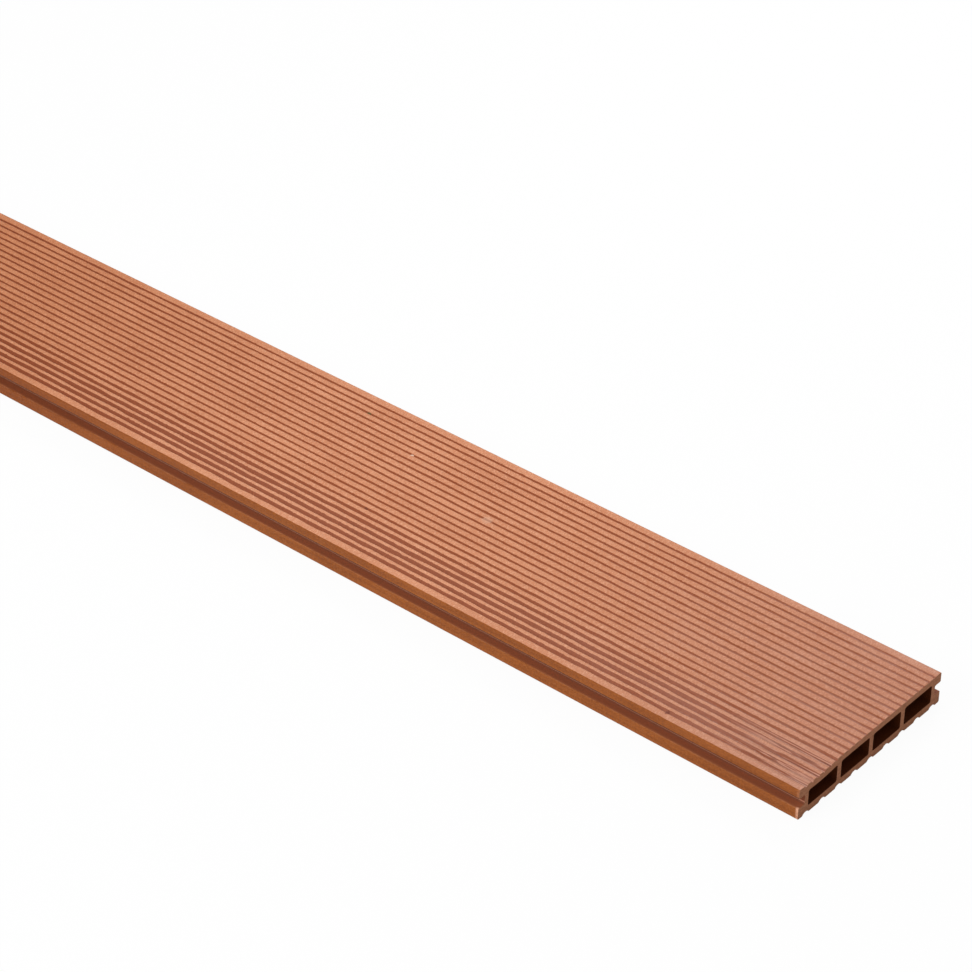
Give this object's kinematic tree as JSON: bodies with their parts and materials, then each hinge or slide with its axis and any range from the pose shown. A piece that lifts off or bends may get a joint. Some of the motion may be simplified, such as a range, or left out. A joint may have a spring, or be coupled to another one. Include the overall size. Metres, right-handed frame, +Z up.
{
  "type": "hollow composite decking board",
  "caption": "Hollow wood-plastic decking board with a ribbed, sanded top, clip slots along both sides, chambers through its length and arched channels in the underside.",
  "frame": {"origin": "middle of the underside, on the plane of the flats between the channels", "axes": "+X along the board, +Y across it towards the side away from the sagging chamber, +Z up through the ribbed top"},
  "size_m": [2.4, 0.146, 0.023],
  "materials": {
    "composite": "wood-plastic, red brown; top ribs sanded pale, the rest as extruded"
  },
  "bodies": {
    "root": {"decking_board": "composite"}
  },
  "joints": []
}
